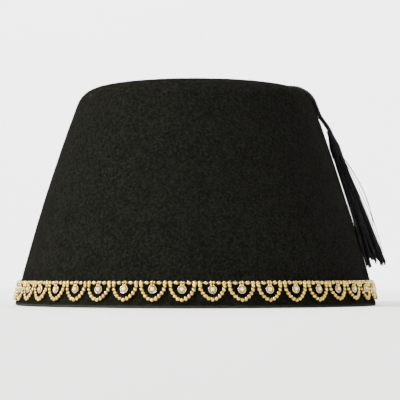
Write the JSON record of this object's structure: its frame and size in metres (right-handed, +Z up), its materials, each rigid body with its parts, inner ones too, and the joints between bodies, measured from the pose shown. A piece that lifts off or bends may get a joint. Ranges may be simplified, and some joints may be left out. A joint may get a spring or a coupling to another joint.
{
  "type": "fez with a tassel",
  "caption": "Round black felt cap with a flat top, a looped gold braid set with small round stones along its rim, and a black tassel hanging from the middle of the top.",
  "frame": {"origin": "middle of the rim's lower face, where the hat rests", "axes": "+Z up through the middle of the flat top, +X towards the side on which the tassel hangs"},
  "size_m": [0.2, 0.194, 0.1199],
  "materials": {
    "felt": "matte black wool felt with a short soft nap",
    "gold_cord": "pale gold metallic braid, beaded and softly shining",
    "setting": "pale cream-gold metal of the stones' settings",
    "stone": "clear, slightly pearly faceted glass",
    "rayon": "smooth shining black rayon thread"
  },
  "bodies": {
    "root": {"felt_body": "felt", "gold_braid": "gold_cord", "crown_button": "felt", "tassel_cord": "rayon", "tassel": "rayon"}
  },
  "joints": []
}
